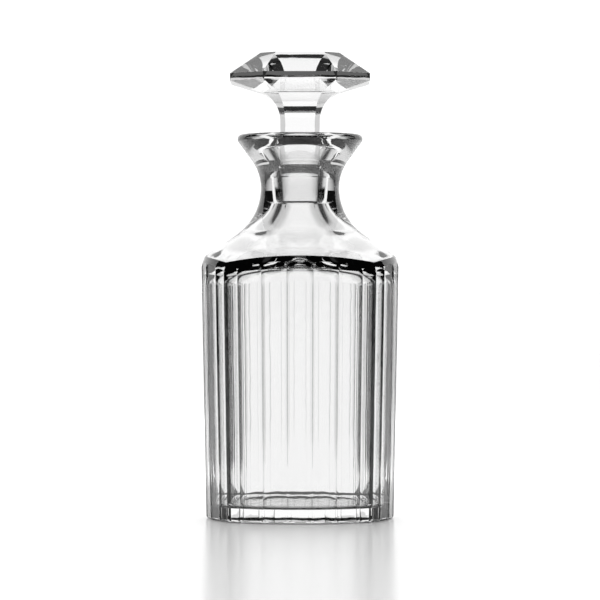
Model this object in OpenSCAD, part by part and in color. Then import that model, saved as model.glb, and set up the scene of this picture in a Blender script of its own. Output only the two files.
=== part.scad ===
// Square decanter of cut crystal, with a faceted stopper ground to fit its neck.
// Millimetres. The origin is the middle of the foot, and +Z is up.

/* [Body] */
// Width across the ridged arcs of two opposite faces
body_w = 100.6; // [97:0.2:121]
// Height of the fluted sides above the foot, where that width is measured
body_h = 127; // [106:1:133]
// Lean of the faces: the body narrows towards the foot
face_lean = 1.13; // [0:0.01:2]
// Radius of a bulging face, seen from above
face_r = 65; // [62:1:80]
// Width of a flute from ridge to ridge
flute_w = 13; // [11:0.5:13.5]
// Flutes of full width on each face; one narrower flute stands at each end of them
flutes_per_face = 5; // [3, 5]
// Bevel around the foot
foot_bevel = 1.6; // [0.5:0.1:3]

/* [Shoulder and neck] */
// Drop of the corner ridges' upper ends below the faces' height
ridge_drop = 3; // [1:0.1:5]
// Distance from the corner ridges in to the shoulder's outer edge, where the rim band ends
shoulder_inset = 7.37; // [6:0.01:9]
// Height of the rim band, from the corner ridges up to the shoulder slope
rim_h = 11.3; // [8:0.1:14]
// Slope of the round shoulder
shoulder_slope = 32.5; // [30:0.5:36]
// Diameter of the neck at its waist
neck_d = 40; // [36:0.5:46]
// Radius of the hollow curve from the shoulder to the waist
neck_curve_r = 28.9; // [26:0.1:31]
// Radius of the hollow curve from the waist to the flared lip
flare_curve_r = 23.5; // [20:0.5:27]
// Slope of the flare under the lip
flare_slope = 54; // [50:0.5:60]
// Height of the flare above the waist
flare_h = 27.1; // [25:0.1:30]
// Radius of the lip's round edge
lip_r = 2.3; // [1.5:0.1:2.6]

/* [Inside] */
// Thickness of the glass at the middle of a face
wall_t = 6; // [4:0.1:9]
// Thickness of the base
base_t = 6.8; // [4:0.1:14]
// Thickness of the glass at the corner ridges
corner_t = 7.3; // [6:0.1:11]
// Radius between the inner walls and the inner floor
floor_r = 2.5; // [1:0.5:12]
// Thickness of the glass through the shoulder slope
shoulder_t = 10; // [7:0.1:12]
// Radius of the hollow curve from the cavity's roof up to the seat
throat_curve_r = 30; // [18:0.5:34]
// Depth below the lip at which the mouth starts to open from its bore
bore_depth = 9.1; // [6:0.1:14]
// Diameter of the mouth at the inner edge of its shallow dish
dish_d = 28; // [25:0.5:36]
// Depth of the dish at that edge
dish_depth = 1.8; // [0.6:0.1:4]

/* [Ground seat] */
// Diameter of the plug at its lower end
plug_d = 17.4; // [15:0.1:19]
// Length of the ground plug
plug_l = 16.2; // [12:0.1:20]
// Depth of the plug's lower end below the lip
plug_depth = 37.2; // [30:0.1:40]
// Taper of plug and seat: length for one unit of diameter
ground_taper = 10; // [8:1:14]
// Running clearance between plug and seat, measured on the radius
seat_clearance = 0.05; // [0.02:0.01:0.1]
// Gap around the plain stem above the seat, measured on the radius
stem_gap = 0.5; // [0.3:0.1:1]
// Bevel around the plug's lower end
plug_bevel = 0.6; // [0.2:0.1:1]

/* [Stopper] */
// Width across the stopper's girdle
girdle_w = 70.6; // [60:0.2:85]
// Width of one of the four wide facets at the girdle
girdle_facet_w = 37; // [32:0.5:44]
// Height of the upright girdle
girdle_h = 3.6; // [2:0.1:6]
// Height of the girdle's lower edge above the lip
girdle_lift = 26.5; // [24:0.1:32]
// Slope of the crown above the girdle
crown_slope = 35.2; // [28:0.1:38]
// Height of the crown, from the girdle up to the flat table
crown_h = 10.8; // [7:0.1:12]
// Slope of the underside below the girdle
under_slope = 18; // [14:0.5:22]
// Radius of the hollow curve between underside and stem
under_curve_r = 16; // [12:0.5:18]
// Width across the stem's facets
stem_w = 20.1; // [18.5:0.1:21]
// Width of one of the stem's four wide facets
stem_facet_w = 15.2; // [12:0.1:17]
// Spread of the stem where the mouth opens around it, in degrees from upright
stem_spread = 11; // [9:0.5:14]

/* [Hidden] */
$fn = 96;

glass = [0.86, 0.9, 0.91, 0.45];
far = 4 * body_w;                  // longer than anything that it cuts

// plan of the body: four arcs, each standing on a wide face
half_w = body_w / 2;
arc_back = face_r - half_w;        // how far behind the axis an arc has its centre
corner_a = acos(arc_back / (sqrt(2) * face_r)) - 45;
flute_a = 2 * asin(flute_w / 2 / face_r);
half_flutes = flutes_per_face / 2;
ridge_angles = [
    -corner_a,
    for (i = [-half_flutes : 1 : half_flutes]) i * flute_a,
    corner_a
];
corner_reach = face_r * sin(corner_a) * sqrt(2);

// How far the leaning faces have drawn in at the height z
function inset_at(z) = (body_h - z) * tan(face_lean);

// rim band, from the corner ridges' upper ends to the shoulder
rim_low_z = body_h - ridge_drop;
rim_low_x = corner_reach - sqrt(2) * inset_at(rim_low_z);
shoulder_r = corner_reach - shoulder_inset;
shoulder_z = rim_low_z + rim_h;
rim_run = rim_low_x - shoulder_r;
waist_x = neck_d / 2;

// the shoulder's slope leaves the neck's hollow curve where the slopes agree
neck_turn = 90 - shoulder_slope;
neck_end_x = waist_x + neck_curve_r * (1 - cos(neck_turn));
neck_end_z = shoulder_z + (shoulder_r - neck_end_x) * tan(shoulder_slope);
waist_z = neck_end_z + neck_curve_r * sin(neck_turn);

// the flare leaves the upper hollow curve in the same way
flare_turn = 90 - flare_slope;
flare_start_x = waist_x + flare_curve_r * (1 - cos(flare_turn));
flare_start_z = waist_z + flare_curve_r * sin(flare_turn);
lip_z = waist_z + flare_h;
lip_low_z = lip_z - lip_r - lip_r * sin(flare_turn);
lip_low_x = flare_start_x + (lip_low_z - flare_start_z) / tan(flare_slope);
lip_x = lip_low_x - lip_r * cos(flare_turn);

// ground cone, shared by plug and seat
taper_a = atan(1 / (2 * ground_taper));
plug_z = lip_z - plug_depth;
plug_top_z = plug_z + plug_l;
function plug_r_at(z) = plug_d / 2 + (z - plug_z) * tan(taper_a);
function seat_r_at(z) = plug_r_at(z) + seat_clearance;

// mouth: the stem's own cone opened by its gap, then a countersink and a shallow dish
bore_end_z = lip_z - bore_depth;
dish_z = lip_z - dish_depth;
function bore_r_at(z) = plug_r_at(z) + stem_gap;

// inside
inner_x = half_w - wall_t;
inner_reach = corner_reach - corner_t;
roof_z = shoulder_z + (shoulder_r - inner_x) * tan(shoulder_slope) - shoulder_t / cos(shoulder_slope);
throat_r = seat_r_at(plug_z);
throat_end_x = throat_r + throat_curve_r * (1 - cos(neck_turn));
throat_end_z = roof_z + (inner_x - throat_end_x) * tan(shoulder_slope);
throat_z = throat_end_z + throat_curve_r * sin(neck_turn);

// stopper
girdle_z = lip_z + girdle_lift;
crown_z = girdle_z + girdle_h;
table_z = crown_z + crown_h;
under_turn = 90 - under_slope;

// height at which the hollow curve under the head leaves the stem's wide facets
head_low_x = stem_w / 2 + under_curve_r * (1 - cos(under_turn));
head_low_z = girdle_z - (girdle_w / 2 - head_low_x) * tan(under_slope) - under_curve_r * sin(under_turn);

// Plan of the body with its flutes, drawn in towards the axis by inset at the middle of a face
module body_plan(inset) {
    k = 1 - inset / half_w;
    polygon([
        for (face = [0 : 90 : 270], a = ridge_angles)
            if (a > -corner_a)
                k * turned([face_r * sin(a), face_r * cos(a) - arc_back], face)
    ]);
}

function turned(p, a) = [p[0] * cos(a) + p[1] * sin(a), p[1] * cos(a) - p[0] * sin(a)];

module plan_slice(z, inset) {
    slice_h = 0.01;
    translate([0, 0, z]) linear_extrude(height = slice_h) body_plan(inset);
}

// Leaning sides with their flutes, and the bevel at the foot
module fluted_body() {
    hull() {
        plan_slice(0, inset_at(0) + foot_bevel);
        plan_slice(foot_bevel, inset_at(foot_bevel));
        plan_slice(lip_z, inset_at(lip_z));
    }
}

// Half section of the blank as blown: rim band, shoulder, waist, flare and round lip.
// The band's slope runs on past the corner ridges, so that only the flutes bound the body.
module blank_section() {
    difference() {
        union() {
            polygon([
                [0, 0],
                [rim_low_x + rim_run, 0],
                [rim_low_x + rim_run, rim_low_z - rim_h],
                [shoulder_r, shoulder_z],
                [neck_end_x, neck_end_z],
                [waist_x + neck_curve_r, waist_z],
                [waist_x + flare_curve_r, waist_z],
                [flare_start_x, flare_start_z],
                [lip_low_x, lip_low_z],
                [lip_x, lip_z - lip_r],
                [lip_x, lip_z],
                [0, lip_z]
            ]);
            translate([lip_x, lip_z - lip_r]) circle(r = lip_r);
        }
        intersection() {
            translate([waist_x + neck_curve_r, waist_z]) circle(r = neck_curve_r);
            square([far, waist_z]);
        }
        intersection() {
            translate([waist_x + flare_curve_r, waist_z]) circle(r = flare_curve_r);
            translate([0, waist_z]) square([far, flare_h]);
        }
    }
}

// What is cut away around a section, given as children, to leave flat-sided facets as wide as needed
module facet_cuts(count, first, top_z) {
    for (i = [0 : count - 1])
        rotate([90, 0, first + i * 360 / count])
            linear_extrude(height = far, center = true)
                difference() {
                    square([far, top_z]);
                    children();
                }
}

// Right half of the cavity's section on a diagonal, where its corners and its rounded floor are
module floor_section() {
    floor_x = inner_reach - (roof_z - base_t) * tan(face_lean);
    polygon([
        [0, base_t],
        [floor_x - floor_r, base_t],
        [floor_x - floor_r, base_t + floor_r],
        [floor_x + floor_r * tan(face_lean), base_t + floor_r],
        [inner_reach, roof_z],
        [inner_reach, throat_z],
        [0, throat_z]
    ]);
    translate([
        floor_x + floor_r * tan(face_lean) - floor_r / cos(face_lean),
        base_t + floor_r
    ])
        circle(r = floor_r);
}

// Half section of the roof and the throat, which the seat may cut short
module throat_section() {
    top_z = min(throat_z, plug_z);
    difference() {
        polygon([
            [0, 0],
            [inner_x + roof_z / tan(shoulder_slope), 0],
            [throat_end_x, throat_end_z],
            [throat_r + throat_curve_r, top_z],
            [0, top_z]
        ]);
        translate([throat_r + throat_curve_r, throat_z]) circle(r = throat_curve_r);
    }
}

// Inner side of one face: a bulging wall that leans with the outer one
module inner_face() {
    translate([0, -arc_back, body_h])
        rotate([-face_lean, 0, 0])
            cylinder(r = face_r - wall_t, h = far, center = true);
}

module cavity() {
    intersection() {
        rotate_extrude()
            intersection() {
                floor_section();
                throat_section();
            }
        for (face = [0 : 90 : 270])
            rotate([0, 0, face]) inner_face();
    }
}

// Ground seat, the mouth's narrow bore, and its opening out to the lip
module bore() {
    rotate_extrude()
        polygon([
            [0, throat_end_z],
            [throat_r, throat_end_z],
            [throat_r, plug_z],
            [seat_r_at(plug_top_z), plug_top_z],
            [bore_r_at(plug_top_z), plug_top_z],
            [bore_r_at(bore_end_z), bore_end_z],
            [dish_d / 2, dish_z],
            [lip_x, lip_z],
            [lip_x, far],
            [0, far]
        ]);
}

module vessel() {
    color(glass)
        difference() {
            intersection() {
                rotate_extrude() blank_section();
                fluted_body();
            }
            cavity();
            bore();
        }
}

// Section of the head through a pair of facets, from the stem up to the table.
// The stem stands at x, and the girdle at girdle_x.
module head_section(x, girdle_x) {
    // the hollow curve touches both the stem and the underside's slope
    curve_end_x = x + under_curve_r * (1 - cos(under_turn));
    curve_end_z = girdle_z - (girdle_x - curve_end_x) * tan(under_slope);
    curve_z = curve_end_z - under_curve_r * sin(under_turn);
    difference() {
        polygon([
            [0, 0],
            [x, 0],
            [x, curve_z],
            [x + under_curve_r, curve_z],
            [curve_end_x, curve_end_z],
            [girdle_x, girdle_z],
            [girdle_x, crown_z],
            [girdle_x - crown_h / tan(crown_slope), table_z],
            [0, table_z]
        ]);
        translate([x + under_curve_r, curve_z]) circle(r = under_curve_r);
    }
}

// Distance from the axis to a corner facet between two wide ones
function corner_x(w, facet_w) = (w + facet_w) / 2 / sqrt(2);

// The stopper as turned: plug, plain round stem, then a spread that clears the stem's facets
module stopper_blank() {
    plain_r = plug_r_at(bore_end_z);
    rotate_extrude()
        polygon([
            [0, plug_z],
            [plug_d / 2 - plug_bevel, plug_z],
            [plug_r_at(plug_z + plug_bevel), plug_z + plug_bevel],
            [plain_r, bore_end_z],
            [plain_r + (head_low_z - bore_end_z) * tan(stem_spread), head_low_z],
            [girdle_w, head_low_z],
            [girdle_w, table_z],
            [0, table_z]
        ]);
}

module stopper() {
    color(glass)
        difference() {
            stopper_blank();
            facet_cuts(4, 0, table_z)
                head_section(stem_w / 2, girdle_w / 2);
            facet_cuts(4, 45, table_z)
                head_section(corner_x(stem_w, stem_facet_w), corner_x(girdle_w, girdle_facet_w));
        }
}

vessel();
stopper();
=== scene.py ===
import math
import bpy
import bmesh
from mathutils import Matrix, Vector


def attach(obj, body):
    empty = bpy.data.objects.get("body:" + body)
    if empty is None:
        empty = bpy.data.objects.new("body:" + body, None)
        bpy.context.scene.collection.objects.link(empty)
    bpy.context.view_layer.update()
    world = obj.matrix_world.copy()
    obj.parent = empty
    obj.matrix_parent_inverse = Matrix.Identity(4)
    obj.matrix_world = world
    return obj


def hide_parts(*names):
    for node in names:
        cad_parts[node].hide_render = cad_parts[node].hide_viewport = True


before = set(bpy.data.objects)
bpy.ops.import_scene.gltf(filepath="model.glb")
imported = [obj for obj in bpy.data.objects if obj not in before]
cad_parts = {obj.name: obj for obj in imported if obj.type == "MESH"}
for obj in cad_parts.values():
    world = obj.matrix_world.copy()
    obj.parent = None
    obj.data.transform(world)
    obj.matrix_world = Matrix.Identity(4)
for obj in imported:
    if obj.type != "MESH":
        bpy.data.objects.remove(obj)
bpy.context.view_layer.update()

# Square crystal decanter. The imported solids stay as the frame; both pieces of glass
# are modelled again here with their cuts, walls and ground joint, and replace them.

mm = 0.001


# ---- small helpers

def lerp(a, b, t):
    return a + (b - a) * t


def smooth(t):
    t = min(max(t, 0.0), 1.0)
    return t * t * (3 - 2 * t)


def steps(count, first=1):
    return [i / count for i in range(first, count + 1)]


def bezier(points, t):
    a, b, c, d = points
    u = 1 - t
    return tuple(u**3 * a[i] + 3 * u * u * t * b[i] + 3 * u * t * t * c[i] + t**3 * d[i] for i in (0, 1))


def arcPoints(centre, radius, start, end, count, first=1):
    # angles in degrees, measured from the radial direction towards +Z
    out = []
    for t in steps(count, first):
        a = math.radians(lerp(start, end, t))
        out.append((centre[0] + radius * math.cos(a), centre[1] + radius * math.sin(a)))
    return out


def linePoints(a, b, count, first=1):
    return [(lerp(a[0], b[0], t), lerp(a[1], b[1], t)) for t in steps(count, first)]


def srgb(code):
    # hex as seen on screen, turned to linear light
    out = []
    for i in (0, 2, 4):
        v = int(code[i:i + 2], 16) / 255
        out.append(v / 12.92 if v <= 0.04045 else ((v + 0.055) / 1.055) ** 2.4)
    return (*out, 1.0)


def addNode(tree, kind, settings=None, links=None):
    # links: input name or index -> a value, or an output socket
    node = tree.nodes.new(kind)
    for name, value in (settings or {}).items():
        setattr(node, name, value)
    for key, value in (links or {}).items():
        if isinstance(value, bpy.types.NodeSocket):
            tree.links.new(value, node.inputs[key])
        else:
            node.inputs[key].default_value = value
    return node


# ---- materials

crystal = {
    "colour": "FDFDFD",
    "ior": 1.545,
    "polish": 0.0,
    "waveSize": 9.0,         # mm, the faint unevenness left by the polishing wheel
    "waveHeight": 0.08,      # mm
    "groundColour": "FAFAFA",
    "groundRoughness": 0.06,
    "gritSize": 0.25,        # mm, the pits left by the grinding
    "gritDepth": 0.05,       # mm
}


def crystalShader(name, colour, roughness):
    mat = bpy.data.materials.new(name)
    mat.use_nodes = True
    shader = mat.node_tree.nodes["Principled BSDF"]
    shader.inputs["Base Color"].default_value = srgb(colour)
    shader.inputs["Transmission Weight"].default_value = 1.0
    shader.inputs["IOR"].default_value = crystal["ior"]
    shader.inputs["Roughness"].default_value = roughness
    return mat, shader


def addNoiseBump(mat, shader, size, height, detail, strength):
    # size and height in mm
    tree = mat.node_tree
    coord = addNode(tree, "ShaderNodeTexCoord")
    noise = addNode(tree, "ShaderNodeTexNoise", {"noise_dimensions": "3D"}, {
        "Vector": coord.outputs["Object"],
        "Scale": 1 / (size * mm),
        "Detail": detail,
    })
    bump = addNode(tree, "ShaderNodeBump", {}, {
        "Height": noise.outputs["Fac"],
        "Strength": strength,
        "Distance": height * mm,
    })
    tree.links.new(bump.outputs["Normal"], shader.inputs["Normal"])


def polishedCrystal():
    # lead-free crystal, cut and polished on the wheel: clear, bright, sharp at every cut,
    # with faint waves that make the lines seen through it waver
    mat, shader = crystalShader("polishedCrystal", crystal["colour"], crystal["polish"])
    addNoiseBump(mat, shader, crystal["waveSize"], crystal["waveHeight"], detail=1.0, strength=1.0)
    return mat


def groundCrystal():
    # the same glass ground with fine grit: a paler, slightly dull band on plug and seat
    mat, shader = crystalShader("groundCrystal", crystal["groundColour"], crystal["groundRoughness"])
    addNoiseBump(mat, shader, crystal["gritSize"], crystal["gritDepth"], detail=2.0, strength=0.25)
    return mat


polished = polishedCrystal()
ground = groundCrystal()
print("materials: done")


# ---- the tree that turns one quarter of a piece into the whole piece

def fourSidesTree():
    tree = bpy.data.node_groups.new("fourSides", "GeometryNodeTree")
    face = tree.interface
    face.new_socket("Geometry", in_out="INPUT", socket_type="NodeSocketGeometry")
    sides = face.new_socket("Sides", in_out="INPUT", socket_type="NodeSocketInt")
    weld = face.new_socket("Weld", in_out="INPUT", socket_type="NodeSocketFloat")
    clear = face.new_socket("Polished", in_out="INPUT", socket_type="NodeSocketMaterial")
    matt = face.new_socket("Ground", in_out="INPUT", socket_type="NodeSocketMaterial")
    face.new_socket("Geometry", in_out="OUTPUT", socket_type="NodeSocketGeometry")
    start = addNode(tree, "NodeGroupInput")
    points = addNode(tree, "GeometryNodePoints", {}, {"Count": start.outputs["Sides"]})
    index = addNode(tree, "GeometryNodeInputIndex")
    share = addNode(tree, "ShaderNodeMath", {"operation": "DIVIDE"}, {
        0: index.outputs[0], 1: start.outputs["Sides"]})
    turn = addNode(tree, "ShaderNodeMath", {"operation": "MULTIPLY"}, {
        0: share.outputs[0], 1: math.tau})
    axis = addNode(tree, "ShaderNodeCombineXYZ", {}, {"Z": turn.outputs[0]})
    ring = addNode(tree, "GeometryNodeInstanceOnPoints", {}, {
        "Points": points.outputs[0],
        "Instance": start.outputs["Geometry"],
        "Rotation": axis.outputs[0],
    })
    real = addNode(tree, "GeometryNodeRealizeInstances", {}, {"Geometry": ring.outputs[0]})
    whole = addNode(tree, "GeometryNodeMergeByDistance", {}, {
        "Geometry": real.outputs[0], "Distance": start.outputs["Weld"]})
    clearSet = addNode(tree, "GeometryNodeSetMaterial", {}, {
        "Geometry": whole.outputs[0], "Material": start.outputs["Polished"]})
    band = addNode(tree, "GeometryNodeInputNamedAttribute", {"data_type": "BOOLEAN"}, {"Name": "ground"})
    mattSet = addNode(tree, "GeometryNodeSetMaterial", {}, {
        "Geometry": clearSet.outputs[0],
        "Selection": band.outputs["Attribute"],
        "Material": start.outputs["Ground"],
    })
    end = addNode(tree, "NodeGroupOutput")
    tree.links.new(mattSet.outputs[0], end.inputs[0])
    keys = {"sides": sides.identifier, "weld": weld.identifier,
            "clear": clear.identifier, "matt": matt.identifier}
    return tree, keys


fourSides, fourSidesKeys = fourSidesTree()

pieceMesh = {
    "sides": 4,
    "weld": 0.002,           # mm, joins the quarters along their shared columns
    "sharpAngle": 11.0,      # degrees, steeper edges are cut edges
}


def quarterMesh(name, columns, groundRows):
    # columns: one list of points for each column, from the foot's middle to the last pole
    mesh = bpy.data.meshes.new(name)
    bm = bmesh.new()
    rows = len(columns[0])
    layer = bm.faces.layers.bool.new("ground")
    low = bm.verts.new(columns[0][0])
    high = bm.verts.new(columns[0][-1])
    grid = [[low] + [bm.verts.new(p) for p in column[1:-1]] + [high] for column in columns]
    for left, right in zip(grid, grid[1:]):
        for i in range(rows - 1):
            corners = [left[i], right[i], right[i + 1], left[i + 1]]
            corners = [v for k, v in enumerate(corners) if v not in corners[:k]]
            made = bm.faces.new(corners)
            made[layer] = i in groundRows
            made.smooth = True
    bm.to_mesh(mesh)
    bm.free()
    return mesh


def wholePiece(name, columns, groundRows):
    piece = bpy.data.objects.new(name, quarterMesh(name, columns, groundRows))
    bpy.context.collection.objects.link(piece)
    ring = piece.modifiers.new("fourSides", "NODES")
    ring.node_group = fourSides
    ring[fourSidesKeys["sides"]] = pieceMesh["sides"]
    ring[fourSidesKeys["weld"]] = pieceMesh["weld"] * mm
    ring[fourSidesKeys["clear"]] = polished
    ring[fourSidesKeys["matt"]] = ground
    depsgraph = bpy.context.evaluated_depsgraph_get()
    mesh = bpy.data.meshes.new_from_object(piece.evaluated_get(depsgraph))
    piece.modifiers.remove(ring)
    piece.data = mesh
    mesh.name = name
    bm = bmesh.new()
    bm.from_mesh(mesh)
    if bm.calc_volume(signed=True) < 0:
        bmesh.ops.reverse_faces(bm, faces=bm.faces)
    bm.to_mesh(mesh)
    openEdges = sum(1 for e in bm.edges if len(e.link_faces) != 2)
    print(name, "faces", len(bm.faces), "open edges", openEdges, "ml", bm.calc_volume() * 1e6)
    bm.free()
    mesh.set_sharp_from_angle(angle=math.radians(pieceMesh["sharpAngle"]))
    return piece


# ---- vessel

vessel = {
    "halfWidth": 50.3,       # to the ridged arc of a face, at sideTop
    "faceRadius": 65.0,      # bulge of a face, in plan
    "fluteWidth": 13.0,
    "flutesPerFace": 5,      # full ones, with one narrower flute at each end
    "fluteDip": 0.4,         # how far a flute lies below the ridges
    "fluteFlatness": 8,      # 2 would be an even hollow, more is a flat with turned-up sides
    "sideTop": 127.0,
    "lean": 1.13,            # degrees
    "footBevel": 1.6,
    "underDip": 0.02,        # hollow ground into the underside, enough to lift it off the table
    "underR": 0.93,          # its edge, as a share of the foot
    "rimDepth": 1.7,         # narrow band between flutes and shoulder
    "rimHeight": 5.3,
    "rimSwell": 0.15,
    "rimLift": 0.3,          # upward part of the swell
    "shoulderSlope": 32.5,
    "rimSlope": 44.0,        # the shoulder steepens towards the rim
    "steepFrom": 43.0,       # radii between which it does
    "steepTo": 49.0,
    "waist": 20.0,
    "waistZ": 167.97,
    "neckCurve": 28.9,
    "flareCurve": 23.5,
    "flareSlope": 54.0,
    "lipTop": 195.07,
    "lipRound": 2.3,
    "mouth": [(14, 193.27, 2.5), (10.6, 185.97, 4), (10.0, 174.6, 0.3)],
    "plugLow": 157.87,
    "plugTop": 174.07,
    "seatRadius": 8.75,
    "seatTaper": 0.05,       # radius gained for each mm up
    "seatRound": 0.2,
    "roofThickness": 10.0,
    "throatCurve": 30.0,
    "roofRound": 10.0,
    "wall": 6.0,
    "innerRadius": 59.0,     # bulge of the inner walls, in plan
    "cornerEase": 0.6,       # sharpness of the inner corners, 1/mm
    "base": 6.8,
    "floorRound": 2.5,
}

# how finely each stretch of the vessel's surface is divided
vesselSteps = {
    "flute": 14,             # columns across a flute of full width
    "under": 4,              # rows from here on
    "foot": 2,
    "bevel": 8,
    "side": 14,
    "rim": 8,
    "shoulder": 16,
    "neck": 26,
    "flare": 16,
    "flareEnd": 6,
    "lip": 22,
    "throat": 18,
}


def polarArc(theta, radius, back):
    return -back * math.cos(theta) + math.sqrt(radius**2 - (back * math.sin(theta))**2)


def filleted(corners, arcSteps=10, lineSteps=3):
    # (r, z, radius) corners joined by straight runs and round turns; runs holds where each
    # straight run starts
    points = [corners[0][:2]]
    runs = []
    for i in range(1, len(corners)):
        here = Vector(corners[i][:2])
        before = (here - Vector(corners[i - 1][:2])).normalized()
        radius = corners[i][2]
        start = end = here
        if radius and i < len(corners) - 1:
            after = (Vector(corners[i + 1][:2]) - here).normalized()
            turn = before.angle_signed(after)
            reach = radius * math.tan(abs(turn) / 2)
            start = here - before * reach
            end = here + after * reach
        runs.append(len(points) - 1)
        points += linePoints(points[-1], start, lineSteps)
        if radius and i < len(corners) - 1:
            side = 1 if turn < 0 else -1
            normal = Vector((-before.y, before.x)) * side
            centre = start + normal * radius
            spoke = start - centre
            for t in steps(arcSteps):
                a = -turn * t
                points.append((centre.x + spoke.x * math.cos(a) - spoke.y * math.sin(a),
                               centre.y + spoke.x * math.sin(a) + spoke.y * math.cos(a)))
    return points, runs


class VesselPlan:
    # plan of one face at sideTop: ridges on an arc, flutes hollowed between them

    def __init__(self, v):
        self.v = v
        r = v["faceRadius"]
        self.back = r - v["halfWidth"]
        corner = math.acos(self.back / (math.sqrt(2) * r)) - math.radians(45)
        pitch = 2 * math.asin(v["fluteWidth"] / 2 / r)
        full = v["flutesPerFace"]
        angles = [-corner] + [(i - full / 2) * pitch for i in range(full + 1)] + [corner]
        self.ridges = [(r * math.sin(a), r * math.cos(a) - self.back) for a in angles]
        self.thetas = [math.atan2(x, y) for x, y in self.ridges]
        self.thetas[0] = -math.pi / 4
        self.thetas[-1] = math.pi / 4

    def columns(self):
        crowding = 0.75      # 0 would be evenly spaced
        out = [self.thetas[0]]
        for i in range(len(self.thetas) - 1):
            wide = 0 < i < len(self.thetas) - 2
            count = vesselSteps["flute"] if wide else vesselSteps["flute"] * 2 // 3
            for t in steps(count):
                # closer together beside the ridges
                t = lerp(t, 0.5 - 0.5 * math.cos(math.pi * t), crowding)
                out.append(lerp(self.thetas[i], self.thetas[i + 1], t))
        # one more on each side, halfway from the middle of the face to its corner
        out += [-math.pi / 8, math.pi / 8]
        return sorted(out)

    def arc(self, theta):
        return polarArc(theta, self.v["faceRadius"], self.back)

    def flute(self, theta):
        for i in range(len(self.ridges) - 1):
            if theta <= self.thetas[i + 1] + 1e-9:
                break
        ax, ay = self.ridges[i]
        bx, by = self.ridges[i + 1]
        dx, dy = math.sin(theta), math.cos(theta)
        # where the ray meets the chord, and how far along it
        det = dx * (by - ay) - dy * (bx - ax)
        reach = (ax * (by - ay) - ay * (bx - ax)) / det
        width = math.hypot(bx - ax, by - ay)
        along = math.hypot(dx * reach - ax, dy * reach - ay) / width
        dip = self.v["fluteDip"] * min(width / self.v["fluteWidth"], 1)
        return reach - dip * (1 - abs(2 * along - 1)**self.v["fluteFlatness"])

    def inner(self, theta):
        # bulging walls, with the corners eased where two of them meet
        r = self.v["innerRadius"]
        k = self.v["cornerEase"]
        back = r - self.v["halfWidth"] + self.v["wall"]
        near = polarArc(theta, r, back)
        beside = polarArc(math.pi / 2 - abs(theta), r, back)
        return -math.log(math.exp(-k * near) + math.exp(-k * beside)) / k


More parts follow.
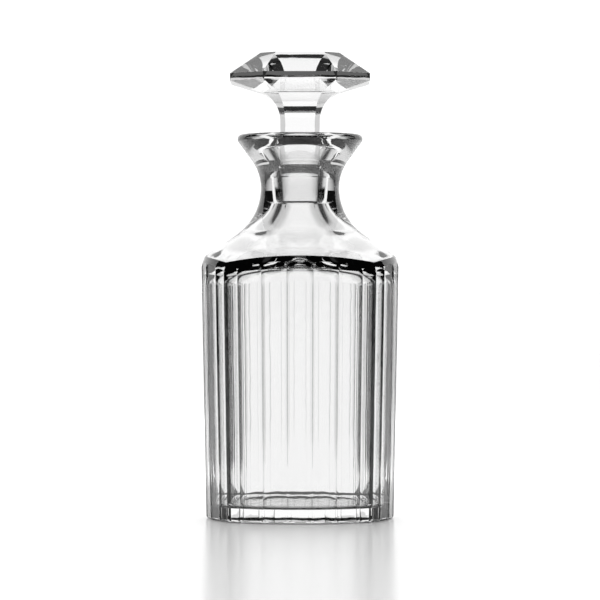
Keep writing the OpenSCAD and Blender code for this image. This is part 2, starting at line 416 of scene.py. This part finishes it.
def vesselColumns():
    v = vessel
    n = vesselSteps
    plan = VesselPlan(v)
    tanLean = math.tan(math.radians(v["lean"]))
    tanSlope = math.tan(math.radians(v["shoulderSlope"]))
    turn = 90 - v["shoulderSlope"]
    neckEnd = (v["waist"] + v["neckCurve"] * (1 - math.cos(math.radians(turn))),
               v["waistZ"] - v["neckCurve"] * math.sin(math.radians(turn)))

    def scaleAt(z):
        return 1 - (v["sideTop"] - z) * tanLean / v["halfWidth"]

    def shoulderZ(r):
        # slope that steepens from shoulderSlope to rimSlope between two radii
        z = neckEnd[1]
        count = 24
        for i in range(count):
            a = lerp(neckEnd[0], r, (i + 0.5) / count)
            t = smooth((a - v["steepFrom"]) / (v["steepTo"] - v["steepFrom"]))
            z -= math.tan(math.radians(lerp(v["shoulderSlope"], v["rimSlope"], t))) * (r - neckEnd[0]) / count
        return z

    def roofZ(r):
        thick = v["roofThickness"] / math.cos(math.radians(v["shoulderSlope"]))
        return neckEnd[1] - (r - neckEnd[0]) * tanSlope - thick

    # the throat's hollow curve is upright at throatZ, but the seat's lower end cuts it short
    throatX = v["seatRadius"] + v["throatCurve"]
    throatZ = roofZ(throatX - v["throatCurve"] * math.cos(math.radians(turn)))
    throatZ += v["throatCurve"] * math.sin(math.radians(turn))
    throatFrom = 180 + math.degrees(math.asin((throatZ - v["plugLow"]) / v["throatCurve"]))

    neckCentre = (v["waist"] + v["neckCurve"], v["waistZ"])
    flareCentre = (v["waist"] + v["flareCurve"], v["waistZ"])
    flareTurn = 90 - v["flareSlope"]
    flareStart = (v["waist"] + v["flareCurve"] * (1 - math.cos(math.radians(flareTurn))),
                  v["waistZ"] + v["flareCurve"] * math.sin(math.radians(flareTurn)))
    tanFlare = math.tan(math.radians(v["flareSlope"]))
    lipLowZ = v["lipTop"] - v["lipRound"] * (1 + math.sin(math.radians(flareTurn)))
    lipLow = (flareStart[0] + (lipLowZ - flareStart[1]) / tanFlare, lipLowZ)
    lipX = lipLow[0] - v["lipRound"] * math.cos(math.radians(flareTurn))
    seatTop = v["seatRadius"] + (v["plugTop"] - v["plugLow"]) * v["seatTaper"]

    handle = 0.55            # makes the foot's bevel nearly round
    out = []
    for theta in plan.columns():
        flute = plan.flute(theta)
        arc = plan.arc(theta)
        # underside and bevel
        footR = flute * (scaleAt(0) - v["footBevel"] / v["halfWidth"])
        hollowR = footR * v["underR"]
        rows = [(hollowR * t, v["underDip"] * (1 - t * t)) for t in steps(n["under"], 0)]
        rows += linePoints((hollowR, 0), (footR, 0), n["foot"])
        bevelEnd = (flute * scaleAt(v["footBevel"]), v["footBevel"])
        curve = [(footR, 0), (lerp(footR, bevelEnd[0], handle), 0),
                 (bevelEnd[0], v["footBevel"] * (1 - handle)), bevelEnd]
        rows += [bezier(curve, t) for t in steps(n["bevel"])]
        # rim band of the blank, and the height where the flute runs out in it
        rimIn = arc - v["rimDepth"]
        rimZ = shoulderZ(rimIn)
        rimLow = rimZ - v["rimHeight"]
        rimOut = arc * scaleAt(rimLow)

        def rimAt(t):
            swell = v["rimSwell"] * 4 * t * (1 - t)
            return (lerp(rimOut, rimIn, t) + swell, lerp(rimLow, rimZ, t) + swell * v["rimLift"])

        lowT, highT = 0.0, 1.0
        for _ in range(40):              # halved until it is exact
            t = (lowT + highT) / 2
            r, z = rimAt(t)
            if r > flute * scaleAt(z):
                lowT = t
            else:
                highT = t
        cutT = lowT
        cutZ = rimAt(cutT)[1]
        for t in steps(n["side"]):
            z = lerp(v["footBevel"], cutZ, t)
            rows.append((flute * scaleAt(z), z))
        rows += [rimAt(lerp(cutT, 1, t)) for t in steps(n["rim"])]
        # shoulder, then neck, flare and lip
        for t in steps(n["shoulder"]):
            r = lerp(rimIn, neckEnd[0], t)
            rows.append((r, shoulderZ(r)))
        rows += arcPoints(neckCentre, v["neckCurve"], 180 + turn, 180, n["neck"])
        rows += arcPoints(flareCentre, v["flareCurve"], 180, 180 - flareTurn, n["flare"])
        rows += linePoints(flareStart, lipLow, n["flareEnd"])
        rows += arcPoints((lipX, v["lipTop"] - v["lipRound"]), v["lipRound"], -flareTurn, 90, n["lip"])
        # over the lip, down the mouth to the ground seat, throat, roof, wall and floor
        wallR = plan.inner(theta)
        roofCorner = (wallR, roofZ(wallR))
        floorCorner = (wallR - (roofCorner[1] - v["base"]) * tanLean, v["base"])
        points, runs = filleted([(*rows[-1], 0), *v["mouth"],
                                 (seatTop, v["plugTop"], v["seatRound"]),
                                 (v["seatRadius"], v["plugLow"], 0)])
        groundRows = range(len(rows) - 1 + runs[-1], len(rows) - 2 + len(points))
        rows += points[1:]
        rows += arcPoints((throatX, throatZ), v["throatCurve"], throatFrom, 180 + turn, n["throat"], 0)
        points, runs = filleted([(*rows[-1], 0), (*roofCorner, v["roofRound"]),
                                 (*floorCorner, v["floorRound"]), (0, v["base"], 0)])
        rows += points[1:]
        out.append([(r * math.sin(theta) * mm, -r * math.cos(theta) * mm, z * mm) for r, z in rows])
    return out, groundRows


print("vessel: mesh")
columns, groundRows = vesselColumns()
vesselGlass = wholePiece("vesselGlass", columns, groundRows)


# ---- stopper

stopper = {
    "plugLow": 157.87,
    "plugTop": 174.07,
    "plugRadius": 8.7,
    "taper": 0.05,
    "plugBevel": 0.6,
    "stemPlain": 11.9,       # round stem above the plug
    "stemFull": 198.5,       # height where the stem's facets are complete
    "stemWidth": 20.1,
    "stemFacet": 15.2,
    "girdleWidth": 70.6,
    "girdleFacet": 37.0,
    "girdleZ": 221.57,
    "girdleHeight": 3.6,
    "crownSlope": 35.2,
    "crownHeight": 10.8,
    "underSlope": 18.0,
    "underCurve": 16.0,
    "curveTop": 216.0,       # height up to which the hollow curve needs close rows
}

stopperSteps = {
    "wideFacet": 16,         # columns
    "cornerFacet": 12,
    "plug": 6,               # rows from here on
    "stem": 4,
    "spread": 10,
    "curve": 34,
    "under": 8,
}


def stopperColumns():
    s = stopper
    n = stopperSteps
    crownZ = s["girdleZ"] + s["girdleHeight"]
    tableZ = crownZ + s["crownHeight"]
    tanUnder = math.tan(math.radians(s["underSlope"]))
    tanCrown = math.tan(math.radians(s["crownSlope"]))
    turn = math.radians(90 - s["underSlope"])

    def cornerOf(width, facet):
        return (width + facet) / 2 / math.sqrt(2)

    def reach(z, stemX, girdleX):
        # distance from the axis to a facet at the height z
        endX = stemX + s["underCurve"] * (1 - math.cos(turn))
        endZ = s["girdleZ"] - (girdleX - endX) * tanUnder
        curveZ = endZ - s["underCurve"] * math.sin(turn)
        if z <= curveZ:
            return stemX
        if z <= endZ:
            return stemX + s["underCurve"] - math.sqrt(max(s["underCurve"]**2 - (z - curveZ)**2, 0))
        if z <= s["girdleZ"]:
            return girdleX - (s["girdleZ"] - z) / tanUnder
        if z <= crownZ:
            return girdleX
        return girdleX - (z - crownZ) / tanCrown

    def plugR(z):
        return s["plugRadius"] + (z - s["plugLow"]) * s["taper"]

    plainTop = s["plugTop"] + s["stemPlain"]
    heights = [s["plugLow"] + s["plugBevel"]]
    for stretch, top in (("plug", s["plugTop"]), ("stem", plainTop), ("spread", s["stemFull"]),
                         ("curve", s["curveTop"]), ("under", s["girdleZ"])):
        low = heights[-1]
        heights += [lerp(low, top, t) for t in steps(n[stretch])]
    heights += [crownZ, tableZ]

    def ring(z, facet, u):
        # facet 0 faces the viewer, facet 1 is the corner facet beside it; u runs from -1 to 1
        wideX = reach(z, s["stemWidth"] / 2, s["girdleWidth"] / 2)
        cornerX = reach(z, cornerOf(s["stemWidth"], s["stemFacet"]),
                        cornerOf(s["girdleWidth"], s["girdleFacet"]))
        half = math.sqrt(2) * cornerX - wideX
        a, b = (-half, wideX), (half, wideX)
        if facet:
            a, b = (half, wideX), (wideX, half)
        x, y = lerp(a[0], b[0], (u + 1) / 2), lerp(a[1], b[1], (u + 1) / 2)
        w = smooth((z - plainTop) / (s["stemFull"] - plainTop))
        if w < 1:
            r = math.hypot(x, y)
            # the round stem keeps its columns at even angles
            k = lerp(plugR(min(z, plainTop)) / r, 1, w)
            x, y = x * k, y * k
        return x, y

    places = [(0, lerp(-1, 1, t)) for t in steps(n["wideFacet"], 0)]
    places += [(1, lerp(-1, 1, t)) for t in steps(n["cornerFacet"])]
    out = []
    for facet, u in places:
        # flat end of the plug, then its sides, the stem and the head, and the table
        x, y = ring(s["plugLow"], facet, u)
        k = (s["plugRadius"] - s["plugBevel"]) / math.hypot(x, y)
        points = [(x * k * share, y * k * share, s["plugLow"]) for share in (0.0, 0.5, 1.0)]
        groundFrom = len(points)
        for z in heights:
            x, y = ring(z, facet, u)
            points.append((x, y, z))
        points += [(x * share, y * share, tableZ) for share in (0.5, 0.0)]
        out.append([(px * mm, -py * mm, pz * mm) for px, py, pz in points])
    return out, range(groundFrom, groundFrom + n["plug"])


print("stopper: mesh")
columns, groundRows = stopperColumns()
stopperGlass = wholePiece("stopperGlass", columns, groundRows)

for piece, node in ((vesselGlass, "vessel"), (stopperGlass, "stopper")):
    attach(piece, node)
    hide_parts(node)


# ---- studio

studio = {
    "eyeHeight": 118.4,      # mm, as all lengths here unless a note says m
    "distance": 1645.0,
    "lens": 193.6,
    "sensor": 36.0,
    "aim": 110.8,            # height looked at
    "farthest": 50000.0,     # that the camera shows
    "floorSpan": 60000.0,
    "backdrop": 1.2,         # strength of the white all round
    "softboxSize": (0.9, 0.4),            # m
    "softboxPlace": (0, 1.1, 0.75),       # m
    "softboxPower": 17.0,    # W
    "floorColour": "DCDCDC",
    "floorRoughness": 0.22,
    "floorDrop": 0.05,       # clear of the foot
    "cardShade": "2C2C2C",   # dark grey box round glass and camera
    "boxSide": 1500.0,
    "boxTop": 2000.0,
    "boxBehindEye": 400.0,
    "boxLow": -1.0,
    "cardBack": 1000.0,      # lit card behind the glass, and the lit strip on the floor before it
    # its brightness by how far aside of the line of sight it is, as a slope
    "fade": [(0.0, 1.0), (0.07, 1.0), (0.12, 0.7), (0.3, 0.6), (0.55, 0.03)],
    "strength": 1.08,
    "cardLift": 0.3,         # cards on the floor
    "footHole": 54.0,        # what they leave free round the foot
    "nearShade": "666666",   # grey strip between the foot and the lit one
    "nearCard": 110.0,
    "flagShade": "0A0A0A",   # black flags beside the glass
    "flagAside": 160.0,
    "flagFrom": 0.0,
    "flagTo": 330.0,
    "flagLow": 0.4,
    "flagHeight": 150.0,
}

camera = bpy.data.objects.new("camera", bpy.data.cameras.new("camera"))
bpy.context.collection.objects.link(camera)
camera.data.lens = studio["lens"]
camera.data.sensor_width = studio["sensor"]
camera.location = (0, -studio["distance"] * mm, studio["eyeHeight"] * mm)
look = Vector((0, 0, studio["aim"] * mm)) - camera.location
camera.rotation_euler = look.to_track_quat("-Z", "Y").to_euler()
camera.data.clip_end = studio["farthest"] * mm
bpy.context.scene.camera = camera

world = bpy.data.worlds.new("studio")
bpy.context.scene.world = world
world.use_nodes = True
world.node_tree.nodes["Background"].inputs["Color"].default_value = (1, 1, 1, 1)
world.node_tree.nodes["Background"].inputs["Strength"].default_value = studio["backdrop"]

bpy.context.scene.view_settings.view_transform = "Standard"

# softbox high behind the glass: throws the soft shadow towards the viewer
softbox = bpy.data.objects.new("softbox", bpy.data.lights.new("softbox", "AREA"))
bpy.context.collection.objects.link(softbox)
softbox.data.shape = "RECTANGLE"
softbox.data.size, softbox.data.size_y = studio["softboxSize"]
softbox.data.energy = studio["softboxPower"]
softbox.location = studio["softboxPlace"]
softbox.rotation_euler = (-softbox.location).to_track_quat("-Z", "Y").to_euler()
softbox.visible_camera = False
softbox.visible_transmission = False
softbox.visible_glossy = False


def plane(name, corners, material):
    mesh = bpy.data.meshes.new(name)
    mesh.from_pydata([tuple(c * mm for c in p) for p in corners], [], [tuple(range(len(corners)))])
    mesh.materials.append(material)
    item = bpy.data.objects.new(name, mesh)
    bpy.context.collection.objects.link(item)
    return item


def floorMaterial():
    # white acrylic sheet: matt enough to blur what stands on it
    mat = bpy.data.materials.new("whiteAcrylic")
    mat.use_nodes = True
    shader = mat.node_tree.nodes["Principled BSDF"]
    shader.inputs["Base Color"].default_value = srgb(studio["floorColour"])
    shader.inputs["Roughness"].default_value = studio["floorRoughness"]
    return mat


def cardMaterial(name, shade, fade=None):
    # plain card, or with fade a card lit in the middle and falling off to both sides
    mat = bpy.data.materials.new(name)
    mat.use_nodes = True
    tree = mat.node_tree
    tree.nodes.clear()
    glow = addNode(tree, "ShaderNodeEmission", {}, {"Color": srgb(shade)})
    end = addNode(tree, "ShaderNodeOutputMaterial")
    tree.links.new(glow.outputs[0], end.inputs[0])
    if fade:
        coord = addNode(tree, "ShaderNodeTexCoord")
        split = addNode(tree, "ShaderNodeSeparateXYZ", {}, {0: coord.outputs["Object"]})
        aside = addNode(tree, "ShaderNodeMath", {"operation": "ABSOLUTE"}, {0: split.outputs["X"]})
        away = addNode(tree, "ShaderNodeMath", {"operation": "ADD"}, {
            0: split.outputs["Y"], 1: studio["distance"] * mm})
        spread = addNode(tree, "ShaderNodeMath", {"operation": "DIVIDE"}, {
            0: aside.outputs[0], 1: away.outputs[0]})
        ramp = addNode(tree, "ShaderNodeValToRGB", {}, {"Fac": spread.outputs[0]})
        stops = ramp.color_ramp.elements
        while len(stops) < len(fade):
            stops.new(0.5)
        for stop, (place, level) in zip(stops, fade):
            stop.position = place
            stop.color = (level, level, level, 1)
        tree.links.new(ramp.outputs["Color"], glow.inputs["Color"])
        glow.inputs["Strength"].default_value = studio["strength"]
    return mat


def card(name, corners, material, glossy):
    # cards are there for the glass only, the camera and the floor don't see them
    item = plane(name, corners, material)
    item.visible_camera = False
    item.visible_diffuse = False
    item.visible_shadow = False
    item.visible_glossy = glossy
    return item


def rectangle(axis, at, first, second):
    # corners of an upright or level rectangle that crosses the axis at one place
    corners = []
    for a, b in ((0, 0), (1, 0), (1, 1), (0, 1)):
        corner = [first[a], second[b]]
        corner.insert(axis, at)
        corners.append(corner)
    return corners


span = studio["floorSpan"]
floor = plane("floor", rectangle(2, 0, (-span, span), (-span, span)), floorMaterial())
floor.location.z = -studio["floorDrop"] * mm

black = cardMaterial("blackCard", studio["flagShade"])
dark = cardMaterial("darkCard", studio["cardShade"])
near = cardMaterial("nearCard", studio["nearShade"])
lit = cardMaterial("litCard", "FFFFFF", studio["fade"])
wide = (-studio["boxSide"], studio["boxSide"])
deep = (-studio["distance"] - studio["boxBehindEye"], studio["cardBack"])
tall = (studio["boxLow"], studio["boxTop"])
hole = studio["footHole"]
strip = studio["nearCard"]
flat = studio["cardLift"]
cards = [
    card("cardLeft", rectangle(0, wide[0], deep, tall), dark, True),
    card("cardRight", rectangle(0, wide[1], deep, tall), dark, True),
    card("cardTop", rectangle(2, tall[1], wide, deep), dark, True),
    card("cardFront", rectangle(1, deep[0], wide, tall), dark, True),
    card("cardBehind", rectangle(1, deep[1], wide, tall), lit, False),
    card("cardNear", rectangle(2, flat, wide, (hole, strip)), near, False),
    card("cardFloor", rectangle(2, flat, wide, (strip, deep[1])), lit, False),
    card("floorLeft", rectangle(2, flat, (wide[0], -hole), (deep[0], hole)), dark, False),
    card("floorRight", rectangle(2, flat, (hole, wide[1]), (deep[0], hole)), dark, False),
    card("floorFront", rectangle(2, flat, (-hole, hole), (deep[0], -hole)), dark, False),
]
# low black flags beside the glass, just out of view: dark lines along its sides
reach = (studio["flagFrom"], studio["flagTo"])
rise = (studio["flagLow"], studio["flagHeight"])
for name, side in (("flagLeft", -1), ("flagRight", 1)):
    cards.append(card(name, rectangle(0, side * studio["flagAside"], reach, rise), black, False))
bpy.context.view_layer.update()
for item in cards:
    item.parent = camera
    item.matrix_parent_inverse = camera.matrix_world.inverted()

print("scene: done")
